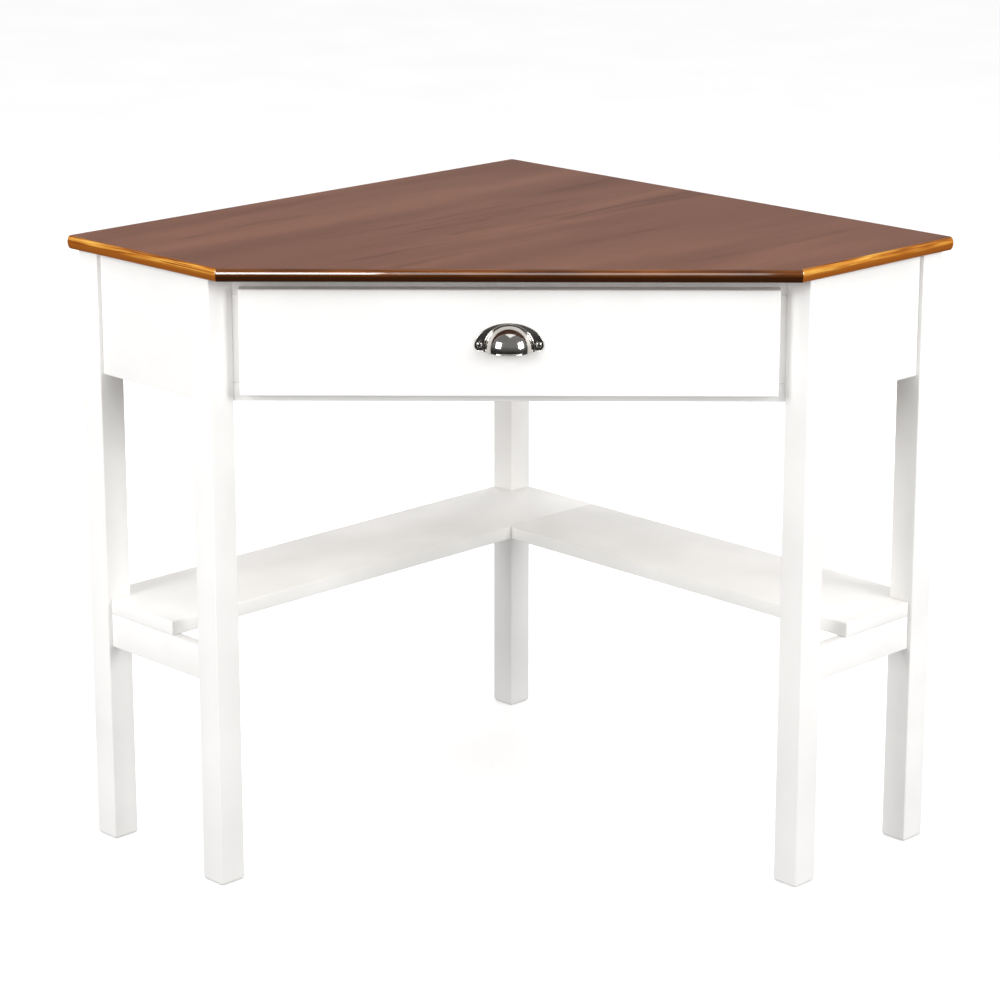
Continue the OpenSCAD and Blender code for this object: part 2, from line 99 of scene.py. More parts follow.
rear_lo, rear_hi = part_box("leg_rear")
wall_y = rear_hi.y
leg_size = (rear_hi.x - rear_lo.x) / ROOT2
leg_top = rear_hi.z
wing_length = ROOT2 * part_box("leg_right")[1].x
wing_depth = ROOT2 * (wall_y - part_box("leg_front_right")[0].y) - wing_length


def wing_point(side, along, out, height):
    """Turns a place on a wing into the shared frame."""
    x = side * (along + out) / ROOT2
    return Vector((x, wall_y + (out - along) / ROOT2, height))


print("Leg", round(leg_size * 1000, 1), "mm, wing", round(wing_length * 1000, 1), "mm")

# %% [markdown]
# ## Helpers for working as by hand
#
# An operator works on whatever is selected, so each step first clears the selection and
# then picks faces or edges by their place. These few helpers add a piece, pick its parts,
# cut it and round its edges.

# %% Selection and naming helpers


def clear_selection():
    bpy.ops.object.select_all(action="DESELECT")


def take(piece):
    """Makes one piece the only selected and active object."""
    clear_selection()
    piece.select_set(True)
    bpy.context.view_layer.objects.active = piece
    return piece


def name_new(name):
    """Names the primitive that was just added and moves its place into its mesh."""
    piece = take(bpy.context.object)
    piece.name = name
    piece.data.name = name
    bpy.ops.object.transform_apply(location=True, rotation=True, scale=True)
    return piece


def pick(piece, kind, test):
    """Enters edit mode with only the faces, edges or points that pass the test."""
    take(piece)
    bpy.ops.object.mode_set(mode="EDIT")
    bpy.ops.mesh.select_mode(type=kind)
    bpy.ops.mesh.select_all(action="DESELECT")
    mesh = bmesh.from_edit_mesh(piece.data)
    mesh.normal_update()
    parts = {"FACE": mesh.faces, "EDGE": mesh.edges, "VERT": mesh.verts}[kind]
    for part in parts:
        if test(part):
            part.select_set(True)
    mesh.select_flush_mode()
    bmesh.update_edit_mesh(piece.data)
    return sum(part.select for part in parts)


def leave_edit():
    bpy.ops.object.mode_set(mode="OBJECT")


def middle(edge):
    return (edge.verts[0].co + edge.verts[1].co) / 2


# %% [markdown]
# A saw cut is a bisect: it splits the mesh with a plane, drops one side and closes the
# cut. A Bevel modifier rounds every sharp edge to the small radius that sanding and paint
# leave, and it is applied so that the finished mesh holds the real shape.

# %% Cutting and edge helpers
EASED_EDGE = 0.0013
SMOOTH_DEG = 40


def saw(piece, point, away, fill=True):
    """Cuts off what lies on the far side of a plane."""
    take(piece)
    bpy.ops.object.mode_set(mode="EDIT")
    bpy.ops.mesh.select_all(action="SELECT")
    bpy.ops.mesh.bisect(
        plane_co=point, plane_no=away, use_fill=fill, clear_outer=True
    )
    leave_edit()


def smooth(piece, limit_deg=SMOOTH_DEG):
    """Shades a piece smoothly, except across edges sharper than the limit."""
    take(piece)
    bpy.ops.object.shade_smooth_by_angle(angle=math.radians(limit_deg))


def ease(piece, radius=EASED_EDGE, segments=3):
    """Rounds all sharp edges and shades the faces smoothly across them."""
    take(piece)
    bevel = piece.modifiers.new("eased", "BEVEL")
    bevel.width = radius
    bevel.segments = segments
    bevel.limit_method = "ANGLE"
    bevel.angle_limit = math.radians(30)
    bevel.harden_normals = False
    bpy.ops.object.modifier_apply(modifier="eased")
    smooth(piece)
    return piece


def carve(piece, cutter):
    """Cuts one solid out of another and throws the cutter away."""
    take(piece)
    cut = piece.modifiers.new("carved", "BOOLEAN")
    cut.operation = "DIFFERENCE"
    cut.solver = "EXACT"
    cut.object = cutter
    bpy.ops.object.modifier_apply(modifier="carved")
    bpy.data.objects.remove(cutter)


def squash(piece, share, about):
    """Stretches or flattens a whole piece about a point."""
    take(piece)
    bpy.ops.object.mode_set(mode="EDIT")
    bpy.ops.mesh.select_all(action="SELECT")
    bpy.ops.transform.resize(value=share, center_override=about)
    leave_edit()


def wing_board(name, side, along, out, height):
    """A sawn board or post square to a wing's wall, between the given limits."""
    sizes = [pair[1] - pair[0] for pair in (along, out, height)]
    centre = wing_point(side, sum(along) / 2, sum(out) / 2, sum(height) / 2)
    bpy.ops.mesh.primitive_cube_add(
        size=1, location=centre, rotation=(0, 0, -side * math.pi / 4), scale=sizes
    )
    return name_new(name)


def straight_board(name, low, high):
    """A sawn board square to the drawer, between two corners."""
    low, high = Vector(low), Vector(high)
    bpy.ops.mesh.primitive_cube_add(
        size=1, location=(low + high) / 2, scale=high - low
    )
    return name_new(name)


pieces = {}


def settle(piece, body, slot, *nodes):
    """Hands a finished piece to its body, its finish slot and the CAD pieces it shows."""
    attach(piece, body)
    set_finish(piece, slot)
    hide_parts(*nodes)
    pieces[piece.name] = piece


# %% [markdown]
# ## The top
#
# The top is one wide panel, clipped at the front corners, with a softly rounded edge all
# the way round. It starts as a block, is sawn along its two walls and two short sides,
# and gets its small corner radii. Then the trick for the edge: at half thickness both
# rims are rounded until they meet in a half circle, and stretching the slab to full
# thickness turns that into the flatter, elliptical edge of a shaped tabletop.

# %% Saw the top's outline
top_lo, top_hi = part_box("desk_top")
CORNER_RADIUS = 0.006
FRONT_EDGE = 0.666
EDGE_REACH = 0.004

thickness = top_hi.z - top_lo.z
mid_z = (top_hi.z + top_lo.z) / 2
corner_gain = CORNER_RADIUS * (ROOT2 - 1)
tip_x = top_hi.x + corner_gain
rear_y = top_hi.y + corner_gain
tip_y = rear_y - tip_x
front_x = FRONT_EDGE / 2

desk_top = straight_board(
    "tabletop",
    (-tip_x, top_lo.y, mid_z - thickness / 4),
    (tip_x, rear_y, mid_z + thickness / 4),
)
side_run = Vector((tip_x - front_x, tip_y - top_lo.y, 0))
side_angle = math.atan2(side_run.y, side_run.x)
for side in SIDES.values():
    saw(desk_top, (0, rear_y, mid_z), (side, 1, 0))
    saw(
        desk_top,
        (side * front_x, top_lo.y, mid_z),
        (side * math.sin(side_angle), -math.cos(side_angle), 0),
    )
print("Short sides turn", round(math.degrees(side_angle), 1), "degrees from the front")

# %% Round the top's corners and rims


def upright_edge_at(x_test):
    def test(edge):
        a, b = edge.verts[0].co, edge.verts[1].co
        upright = abs(a.x - b.x) + abs(a.y - b.y) < 1e-5
        return upright and x_test(abs(a.x))

    return test


NEAR = 0.01
corner_groups = [
    (lambda x: x < NEAR, math.pi / 2),
    (lambda x: abs(x - front_x) < NEAR, side_angle),
    (lambda x: x > tip_x - NEAR, math.radians(135) - side_angle),
]
for x_test, turn in corner_groups:
    found = pick(desk_top, "EDGE", upright_edge_at(x_test))
    bpy.ops.mesh.bevel(
        offset=CORNER_RADIUS * math.tan(turn / 2), segments=6, affect="EDGES"
    )
    leave_edit()
    print("Rounded", found, "corner edges with a turn of", round(math.degrees(turn)))


def on_rim(edge):
    flat = abs(edge.verts[0].co.z - edge.verts[1].co.z) < 1e-6
    return flat and len(edge.link_faces) == 2 and edge.calc_face_angle() > 1.0


pick(desk_top, "EDGE", on_rim)
bpy.ops.mesh.bevel(
    offset=EDGE_REACH * 0.995, segments=10, affect="EDGES", clamp_overlap=False
)
bpy.ops.mesh.select_all(action="SELECT")
bpy.ops.transform.resize(value=(1, 1, 2), center_override=(0, 0, mid_z))
bpy.ops.mesh.remove_doubles(threshold=1e-6)
bpy.ops.mesh.normals_make_consistent(inside=False)
leave_edit()
smooth(desk_top)
settle(desk_top, "desk", "walnut_top", "desk_top")
print("Tabletop has", len(desk_top.data.polygons), "faces")

# %% [markdown]
# ## Legs
#
# Each leg is a square post whose long edges are eased by sanding. The foot gets a wider
# chamfer, which keeps a solid leg from splintering when the desk is dragged. One leg is
# shaped and the other four are copies moved to their places, each with its own mesh. The
# legs stand square to the walls, so seen from the front they are turned by an eighth.

# %% Shape one leg and copy it
FOOT_CHAMFER = 0.0022
LEG_EASING = 0.0016

rear_leg = wing_board(
    "rear_leg", RIGHT, (0, leg_size), (-leg_size, 0), (0, leg_top)
)
pick(rear_leg, "EDGE", lambda e: middle(e).z < 1e-4)
bpy.ops.mesh.bevel(offset=FOOT_CHAMFER, segments=1, affect="EDGES")
leave_edit()
ease(rear_leg, LEG_EASING, 4)

leg_places = {
    "tip_leg": (wing_length - leg_size, 0),
    "front_leg": (wing_length - leg_size, leg_size - wing_depth),
}
leg_nodes = {"tip_leg": "leg_", "front_leg": "leg_front_"}
for leg, (along, out) in leg_places.items():
    for side_name, side in SIDES.items():
        take(rear_leg)
        bpy.ops.object.duplicate(linked=False)
        copy = bpy.context.object
        copy.name = copy.data.name = leg + "_" + side_name
        copy.location = wing_point(side, along, out, 0) - wing_point(side, 0, 0, 0)
        bpy.ops.object.transform_apply(location=True, rotation=True, scale=True)
        settle(copy, "desk", "white_paint", leg_nodes[leg] + side_name)
settle(rear_leg, "desk", "white_paint", "leg_rear")
print("Five legs, each", len(rear_leg.data.polygons), "faces")

# %% [markdown]
# ## Aprons and low rails
#
# The aprons are the boards on edge that tie the legs together under the top, and the low
# rails carry the shelf between each tip leg and its front leg. They are set back from the
# legs' outer faces, which gives the thin shadow line beside each leg. The low rails have
# deep holes from below for the screws that hold the shelf.

# %% Make the aprons
apron_z, apron_top = (corner.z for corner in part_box("side_apron_right"))
APRON_SET, APRON_THICK = 0.005, 0.015
face_along = wing_length - APRON_SET
side_along = (face_along - APRON_THICK, face_along)
side_out = (leg_size - wing_depth, -leg_size)

for side_name, side in SIDES.items():
    apron = wing_board(
        "side_apron_board_" + side_name, side, side_along, side_out, (apron_z, apron_top)
    )
    settle(ease(apron), "desk", "white_paint", "side_apron_" + side_name)
    apron = wing_board(
        "back_apron_board_" + side_name,
        side,
        (leg_size, wing_length - leg_size),
        (-APRON_SET - APRON_THICK, -APRON_SET),
        (apron_z, apron_top),
    )
    settle(ease(apron), "desk", "white_paint", "back_apron_" + side_name)
print("Aprons are", round((apron_top - apron_z) * 1000), "mm high")

# %% Make the low rails with their screw holes
rail_lo, rail_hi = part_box("shelf_rail_right")
SCREW_HOLES = (-0.070, -0.135)
HOLE_RADIUS, HOLE_DEPTH = 0.0036, 0.014

for side_name, side in SIDES.items():
    rail = wing_board(
        "low_rail_" + side_name, side, side_along, side_out, (rail_lo.z, rail_hi.z)
    )
    ease(rail)
    for out in SCREW_HOLES:
        bpy.ops.mesh.primitive_cylinder_add(
            vertices=32,
            radius=HOLE_RADIUS,
            depth=2 * HOLE_DEPTH,
            location=wing_point(side, sum(side_along) / 2, out, rail_lo.z),
        )
        carve(rail, bpy.context.object)
    smooth(rail)
    settle(rail, "desk", "white_paint", "shelf_rail_" + side_name)
print("Low rails start", round(rail_lo.z * 1000), "mm above the floor")

# %% [markdown]
# ## The frame round the drawer
#
# Two rails and two stiles frame the drawer opening. Their ends are cut at 45 degrees to
# lie flat against the front legs, so each is a straight board with a slanted saw cut.

# %% Make the rails and stiles
FRAME_EASING = 0.001


def mitre_to_leg(piece, side, corner):
    """Cuts a board where the inner face of a front leg meets it."""
    saw(piece, (side * corner.x, corner.y, corner.z), (side, -1, 0))


for name in ("front_top_rail", "front_bottom_rail"):
    low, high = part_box(name)
    rail = straight_board(name + "_board", low, high)
    for side in SIDES.values():
        mitre_to_leg(rail, side, high)
    settle(ease(rail, FRAME_EASING), "desk", "white_paint", name)

for side_name, side in SIDES.items():
    low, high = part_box("front_stile_" + side_name)
    stile = straight_board("front_stile_board_" + side_name, low, high)
    mitre_to_leg(stile, side, Vector((max(abs(low.x), abs(high.x)), high.y, 0)))
    ease(stile, FRAME_EASING)
    settle(stile, "desk", "white_paint", "front_stile_" + side_name)

# %% [markdown]
# ## The drawer front
#
# The drawer front is a flat painted board that covers its opening. Its face edges are
# rounded a little more than the back ones, because that is where a hand feels them.

# %% Make the drawer front
FACE_ROUNDING, BACK_EASING = 0.002, 0.0006
front_lo, front_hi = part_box("drawer_front")
drawer_front = straight_board("drawer_face", front_lo, front_hi)
pick(drawer_front, "EDGE", lambda e: middle(e).y < front_lo.y + 1e-4)
bpy.ops.mesh.bevel(offset=FACE_ROUNDING, segments=5, affect="EDGES")
leave_edit()
ease(drawer_front, BACK_EASING, 2)
settle(drawer_front, "drawer", "white_paint", "drawer_front")
print("Drawer front", [round(v * 1000, 1) for v in front_hi - front_lo], "mm")

# %% [markdown]
# ## The low shelf
#
# Two boards make the shelf. The long one runs into the room's corner along the left wall,
# and the short one butts against it. Both are notched to fit round the legs. A notch is
# cut as with a jigsaw: a block the size of the leg is taken out of the board's corner.

# %% Cut and notch the shelf boards
shelf_z = tuple(corner.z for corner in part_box("shelf_long"))
short_lo, short_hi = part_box("shelf_short")
SHELF_WIDTH = 0.153
SHELF_EASING = 0.0015
NOTCH_OVER = 0.001
tip_notch = (wing_length - leg_size, wing_length + NOTCH_OVER)
notch_out = (-leg_size, NOTCH_OVER)
notch_z = (shelf_z[0] - NOTCH_OVER, shelf_z[1] + NOTCH_OVER)

long_board = wing_board(
    "shelf_board_long", LEFT, (0, face_along), (-SHELF_WIDTH, 0), shelf_z
)
short_board = wing_board(
    "shelf_board_short", RIGHT, (SHELF_WIDTH, face_along), (-SHELF_WIDTH, 0), shelf_z
)
carve(
    long_board,
    wing_board("notch", LEFT, (-NOTCH_OVER, leg_size), notch_out, notch_z),
)
for board, side in ((long_board, LEFT), (short_board, RIGHT)):
    carve(board, wing_board("notch", side, tip_notch, notch_out, notch_z))
    ease(board, SHELF_EASING)
settle(long_board, "desk", "white_paint", "shelf_long")
settle(short_board, "desk", "white_paint", "shelf_short")
print("Shelf top at", round(shelf_z[1] * 1000), "mm")

# %% [markdown]
# ## The cup pull
#
# The pull is pressed from sheet brass and plated: a quarter-ball cup that the fingers go
# up behind, on an arched base plate with a screw at each end. The cup is a ball cut by
# the drawer front and by its own open lower edge, then given its wall by a Solidify
# modifier. Beads are added where the press rolls the metal: round the foot of the cup
# and along its lip.

# %% Press the cup
pull_lo, pull_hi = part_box("cup_pull")
SHEET = 0.0016
SHEET_EASING = 0.0005
CUP_RADIUS = 0.029
CUP_DROP = 0.0025
face_y = front_lo.y
lip_z = pull_lo.z
cup_z = lip_z + CUP_DROP
cup_out = face_y - pull_lo.y
ball_radius = (CUP_RADIUS**2 + cup_out**2) / (2 * cup_out)
ball_centre = Vector((0, pull_lo.y + ball_radius, cup_z))

bpy.ops.mesh.primitive_uv_sphere_add(
    segments=96,
    ring_count=64,
    radius=ball_radius,
    location=ball_centre,
    rotation=(0, math.pi / 2, 0),
)
cup = name_new("pull_cup")
saw(cup, (0, face_y - SHEET / 2, cup_z), (0, 1, 0), fill=False)
saw(cup, (0, face_y, lip_z), (0, 0, -1), fill=False)
wall = cup.modifiers.new("wall", "SOLIDIFY")
wall.thickness = SHEET
wall.offset = -1
take(cup)
bpy.ops.object.modifier_apply(modifier="wall")
smooth(cup)
print("Cup wall", SHEET * 1000, "mm on a ball of radius", round(ball_radius * 1000, 2))

# %% Roll the beads
FOOT_BEAD, LIP_BEAD = 0.0017, 0.0012

bpy.ops.mesh.primitive_torus_add(
    major_segments=128,
    minor_segments=16,
    major_radius=CUP_RADIUS - FOOT_BEAD * 0.3,
    minor_radius=FOOT_BEAD,
    location=(0, face_y - SHEET, cup_z),
    rotation=(math.pi / 2, 0, 0),
)
foot_bead = name_new("foot_bead")
saw(foot_bead, (0, face_y, lip_z), (0, 0, -1))
saw(foot_bead, (0, face_y - SHEET / 2, cup_z), (0, 1, 0))

lip_radius = math.sqrt(ball_radius**2 - CUP_DROP**2)
bpy.ops.mesh.primitive_torus_add(
    major_segments=128,
    minor_segments=16,
    major_radius=lip_radius - LIP_BEAD * 0.9,
    minor_radius=LIP_BEAD,
    location=(0, ball_centre.y, lip_z + LIP_BEAD),
)
lip_bead = name_new("lip_bead")
saw(lip_bead, (0, face_y - SHEET / 2, cup_z), (0, 1, 0))

# %% [markdown]
# The base plate starts as a disc stood upright and squashed into an arch. It is sawn off
# level at the lip, its lower corners are rounded, and it is extruded to the sheet's
# thickness. The opening behind the cup and the screw holes are cut last.

# %% Cut the base plate
PLATE_CORNER = 0.006
plate_half = pull_hi.x
arch_z = lip_z + PLATE_CORNER
bpy.ops.mesh.primitive_circle_add(
    vertices=160,
    radius=plate_half,
    fill_type="NGON",
    location=(0, face_y, arch_z),
    rotation=(math.pi / 2, 0, 0),
)
plate = name_new("pull_plate")
squash(plate, (1, 1, (pull_hi.z - arch_z) / plate_half), (0, face_y, arch_z))
saw(plate, (0, face_y, arch_z), (0, 0, -1), fill=False)
pick(plate, "EDGE", lambda e: abs(middle(e).z - arch_z) < 1e-5)
bpy.ops.mesh.extrude_edges_move(
    TRANSFORM_OT_translate={"value": (0, 0, lip_z - arch_z)}
)
leave_edit()
pick(plate, "VERT", lambda v: abs(v.co.z - lip_z) < 1e-5)
bpy.ops.mesh.bevel(offset=PLATE_CORNER * 0.98, segments=10, affect="VERTICES")
bpy.ops.mesh.select_mode(type="FACE")
bpy.ops.mesh.select_all(action="SELECT")
bpy.ops.mesh.extrude_region_move(TRANSFORM_OT_translate={"value": (0, -SHEET, 0)})
bpy.ops.mesh.select_all(action="SELECT")
bpy.ops.mesh.normals_make_consistent(inside=False)
leave_edit()

screw_lo, screw_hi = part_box("pull_screws")
HEAD_RADIUS = 0.0035
SCREW_HOLE_RADIUS = 0.00215
CUP_RIM = 0.003
screw_x = screw_hi.x - HEAD_RADIUS
screw_z = (screw_lo.z + screw_hi.z) / 2
holes = [(0, cup_z, CUP_RADIUS - CUP_RIM)]
holes += [(side * screw_x, screw_z, SCREW_HOLE_RADIUS) for side in SIDES.values()]
for x, z, radius in holes:
    bpy.ops.mesh.primitive_cylinder_add(
        vertices=64,
        radius=radius,
        depth=0.02,
        location=(x, face_y, z),
        rotation=(math.pi / 2, 0, 0),
    )
    carve(plate, bpy.context.object)
ease(plate, SHEET_EASING)

# %% Join the pull into one pressed piece
take(cup)
for part in (plate, foot_bead, lip_bead):
    part.select_set(True)
bpy.ops.object.join()
cup_pull = bpy.context.object
cup_pull.name = cup_pull.data.name = "bin_pull"
smooth(cup_pull)
settle(cup_pull, "drawer", "polished_nickel", "cup_pull")
print("Pull has", len(cup_pull.data.polygons), "faces")

# %% [markdown]
# ## The pull's screws
#
# A pan head is a low dome with a cross recess. The dome is a flattened ball sawn off at
# the plate, and the cross is two small blocks cut out of it. The second screw is a copy
# with the recess turned, since two screws never stop at the same angle.

# %% Make the screws
CROSS_LENGTH, CROSS_WIDTH, CROSS_DEPTH = 0.0036, 0.0008, 0.0011
SECOND_SCREW_TURN_DEG = 28
head_front = screw_lo.y
seat_y = face_y - SHEET
head_height = seat_y - head_front
bpy.ops.mesh.primitive_uv_sphere_add(
    segments=48,
    ring_count=24,
    radius=HEAD_RADIUS,
    location=(-screw_x, seat_y, screw_z),
    rotation=(math.pi / 2, 0, 0),
)
left_screw = name_new("pull_screw_left")
squash(left_screw, (1, head_height / HEAD_RADIUS, 1), (-screw_x, seat_y, screw_z))
saw(left_screw, (0, seat_y, screw_z), (0, 1, 0))
for wide, tall in ((CROSS_LENGTH, CROSS_WIDTH), (CROSS_WIDTH, CROSS_LENGTH)):
    centre = Vector((-screw_x, head_front, screw_z))
    half = Vector((wide / 2, CROSS_DEPTH, tall / 2))
    carve(left_screw, straight_board("cross", centre - half, centre + half))
smooth(left_screw, 35)
bpy.ops.object.duplicate(linked=False)
right_screw = bpy.context.object
right_screw.name = right_screw.data.name = "pull_screw_right"
bpy.ops.object.mode_set(mode="EDIT")
bpy.ops.mesh.select_all(action="SELECT")
bpy.ops.transform.translate(value=(2 * screw_x, 0, 0))
bpy.ops.transform.rotate(
    value=math.radians(SECOND_SCREW_TURN_DEG),
    orient_axis="Y",
    center_override=(screw_x, seat_y, screw_z),
)
leave_edit()
for screw in (left_screw, right_screw):
    settle(screw, "drawer", "polished_nickel", "pull_screws")
print("Screw heads stand out", round(head_height * 1000, 1), "mm")

# %% [markdown]
# ## Building materials
#
# Paint swatches are easiest to write as sRGB hex values, but a shader works in linear
# light, so one function turns the one into the other. A second function adds any shader
# node: its settings, its sockets' values, its links and, for a ramp, its colour stops.
#
# A socket goes by its name, or by its number where two sockets share one. Map Range's
# sockets 1 and 2 are the range it reads, and 3 and 4 the range it gives. A colour Mix
# blends sockets 6 and 7 by socket 0 and gives its result as output 2.

# %% Colour and node helpers


def linear(hex_colour):
    """An sRGB hex value as linear red, green, blue and alpha."""
    parts = [int(hex_colour[i : i + 2], 16) / 255 for i in (1, 3, 5)]
    bent = [p / 12.92 if p <= 0.04045 else ((p + 0.055) / 1.055) ** 2.4 for p in parts]
    return (*bent, 1.0)


def add(tree, kind, sockets=None, stops=None, **settings):
    """Adds one node. A socket's value may be a number, a colour or (node, output)."""
    node = tree.nodes.new("ShaderNode" + kind)
    for name, value in settings.items():
        setattr(node, name, value)
    for socket, value in (sockets or {}).items():
        if isinstance(value, tuple) and isinstance(value[0], bpy.types.Node):
            tree.links.new(value[0].outputs[value[1]], node.inputs[socket])
        else:
            node.inputs[socket].default_value = value
    if stops:
        ramp = node.color_ramp
        while len(ramp.elements) < len(stops):
            ramp.elements.new(0.5)
        for element, (place, colour) in zip(ramp.elements, stops):
            element.position = place
            element.color = colour
    return node


MIX_A, MIX_B, MIX_RESULT = 6, 7, 2


def start_material(name):
    """A new material with its Principled shader, and the Object coordinates."""
    material = bpy.data.materials.new(name)
    material.use_nodes = True
    tree = material.node_tree
    shader = tree.nodes["Principled BSDF"]
    return material, tree, shader, add(tree, "TexCoord")


def grey(value):
    return (value, value, value, 1.0)


# %% [markdown]
# ## Finish: walnut-stained veneer
#
# The top's face is a hardwood veneer, wiped with brown stain and sprayed with satin
# lacquer. The grain runs one way across the whole panel, parallel to the left wall edge.
# Three sizes of pattern make it: broad tone changes from board to board, long dark growth
# lines a few centimetres apart, and fine fibres. A Mapping node of type Texture turns
# the pattern along the grain and stretches it: its scale is simply the size of one
# pattern cell in metres. Real pores are 0.2 mm wide, too fine to show from four metres,
# so the fibres are drawn 1.5 mm wide.

# %% Stain the top's face
GRAIN_TURN = math.radians(45)
# Cells as length, width and, where one is given, shift, all in metres.
BROAD_TONES = (0.70, 0.085, 0.31)
GROWTH_LINES = (0.62, 0.026, 0.12)
VENEER_FIBRES = (0.045, 0.0015)


def grain(tree, coords, turn, length, width, shift=0.0):
    """Coordinates stretched along the grain, one unit per length and width in metres."""
    return add(
        tree,
        "Mapping",
        {
            "Vector": (coords, "Object"),
            "Location": (shift, shift, shift),
            "Rotation": (0, 0, turn),
            "Scale": (length, width, width),
        },
        vector_type="TEXTURE",
    )


walnut, tree, shader, coords = start_material("walnut_stained_veneer")
broad = add(
    tree,
    "TexNoise",
    {
        "Vector": (grain(tree, coords, GRAIN_TURN, *BROAD_TONES), "Vector"),
        "Scale": 1.0,
        "Detail": 3.0,
        "Distortion": 0.35,
    },
)
lines = add(
    tree,
    "TexNoise",
    {
        "Vector": (grain(tree, coords, GRAIN_TURN, *GROWTH_LINES), "Vector"),
        "Scale": 1.0,
        "Detail": 4.0,
        "Distortion": 0.5,
    },
)
fibres = add(
    tree,
    "TexNoise",
    {
        "Vector": (grain(tree, coords, GRAIN_TURN, *VENEER_FIBRES), "Vector"),
        "Scale": 1.0,
        "Detail": 2.0,
    },
)
tone = add(
    tree,
    "ValToRGB",
    {"Fac": (broad, "Fac")},
    stops=[
        (0.32, linear("#6C4636")),
        (0.50, linear("#754D3D")),
        (0.68, linear("#7F5643")),
    ],
)
line_mask = add(
    tree,
    "ValToRGB",
    {"Fac": (lines, "Fac")},
    stops=[(0.35, grey(0.0)), (0.385, grey(0.60)), (0.41, grey(0.0))],
)
lined = add(
    tree,
    "Mix",
    {0: (line_mask, "Color"), MIX_A: (tone, "Color"), MIX_B: linear("#5A3829")},
    data_type="RGBA",
)
fibre_tone = add(
    tree,
    "ValToRGB",
    {"Fac": (fibres, "Fac")},
    stops=[(0.30, grey(0.90)), (0.70, grey(1.08))],
)
face_colour = add(
    tree,
    "Mix",
    {0: 1.0, MIX_A: (lined, MIX_RESULT), MIX_B: (fibre_tone, "Color")},
    data_type="RGBA",
    blend_type="MULTIPLY",
)
face_gloss = add(
    tree,
    "MapRange",
    {"Value": (broad, "Fac"), 1: 0.3, 2: 0.7, 3: 0.42, 4: 0.50},
)
face_bump = add(
    tree,
    "Bump",
    {"Strength": 0.25, "Distance": 0.00008, "Height": (fibres, "Fac")},
)
tree.links.new(face_colour.outputs[MIX_RESULT], shader.inputs["Base Color"])
tree.links.new(face_gloss.outputs["Result"], shader.inputs["Roughness"])
tree.links.new(face_bump.outputs["Normal"], shader.inputs["Normal"])
shader.inputs["IOR"].default_value = 1.45
print("Stained face:", len(tree.nodes), "nodes")

# %% [markdown]
# ## Finish: lacquered edge
#
# The edge is shaped from the panel's core, which takes the stain differently from the
# veneer and is sealed with a thick gloss coat. Only that coat shines, so the wood below it
# has no specular of its own. The front and the short sides are lit and shaded copies of
# one stained edge: the front is painted a deep red-brown as painted shade, and the short
# sides a light golden colour with flowing streaks as painted light from the side lamps.
# One function makes both, with the streaks turned along each edge.
#
# The edge is painted darker where it meets the face and beneath its rounding: painted
# shade, set by which way each spot faces. The mesh normal in the object's own space tells
# which way each spot faces, and so where those two places are.

# %% Lacquer the edges
EDGE_STREAKS = (0.11, 0.0026, 0.2)
EDGE_PATCHES = (0.12, 0.02, 0.7)


def lacquered_edge(name, turn, dark, base, light, shade_under, coat):
    material, tree, shader, coords = start_material(name)
    flow = add(
        tree,
        "TexNoise",
        {
            "Vector": (grain(tree, coords, turn, *EDGE_STREAKS), "Vector"),
            "Scale": 1.0,
            "Detail": 4.0,
            "Distortion": 1.1,
        },
    )
    patches = add(
        tree,
        "TexNoise",
        {
            "Vector": (grain(tree, coords, turn, *EDGE_PATCHES), "Vector"),
            "Scale": 1.0,
            "Detail": 2.0,
        },
    )
    blend = add(
        tree,
        "Math",
        {0: (flow, "Fac"), 1: (patches, "Fac")},
        operation="ADD",
    )
    streaks = add(
        tree,
        "ValToRGB",
        {"Fac": (add(tree, "Math", {0: (blend, 0), 1: 0.5}, operation="MULTIPLY"), 0)},
        stops=[(0.40, dark), (0.48, base), (0.60, light)],
    )
    # Painted shade: the colour darkens where the edge faces up next to the face and where
    # it faces down beneath the rounding.
    facing = add(tree, "SeparateXYZ", {0: (coords, "Normal")})
    underside_shade_mask = add(
        tree,
        "MapRange",
        {"Value": (facing, "Z"), 1: 0.25, 2: -0.10, 3: 0.0, 4: 1.0},
    )
    shoulder_shade_mask = add(
        tree,
        "MapRange",
        {"Value": (facing, "Z"), 1: 0.50, 2: 0.90, 3: 0.0, 4: 0.7},
    )
    shaded = add(
        tree,
        "Mix",
        {0: (shoulder_shade_mask, "Result"), MIX_A: (streaks, "Color"), MIX_B: dark},
        data_type="RGBA",
    )
    colour = add(
        tree,
        "Mix",
        {0: (underside_shade_mask, "Result"), MIX_A: (shaded, MIX_RESULT), MIX_B: shade_under},
        data_type="RGBA",
    )
    ripple = add(
        tree,
        "Bump",
        {"Strength": 0.3, "Distance": 0.0001, "Height": (flow, "Fac")},
    )
    tree.links.new(colour.outputs[MIX_RESULT], shader.inputs["Base Color"])
    tree.links.new(ripple.outputs["Normal"], shader.inputs["Normal"])
    shader.inputs["Roughness"].default_value = 0.42
    shader.inputs["Specular IOR Level"].default_value = 0.0
    shader.inputs["Coat Weight"].default_value = coat
    shader.inputs["Coat Roughness"].default_value = 0.06
    shader.inputs["Coat IOR"].default_value = 1.6
    return material


# One stain in two copies: red-brown is painted shade for the front, golden is painted
# light for the short sides. Each list ends with the painted shade beneath the rounding.
red_brown_shaded_copy = [linear(c) for c in ("#4C240A", "#653611", "#80491B", "#341805")]
front_edge = lacquered_edge("lacquered_front_edge", 0.0, *red_brown_shaded_copy, 1.0)
honey_lit_copy = [linear(c) for c in ("#70360B", "#BE7522", "#F8C45C", "#96541A")]
rising_edge = lacquered_edge("lacquered_honey_edge", side_angle, *honey_lit_copy, 0.8)
falling_edge = lacquered_edge("lacquered_honey_edge_turned", -side_angle, *honey_lit_copy, 0.8)

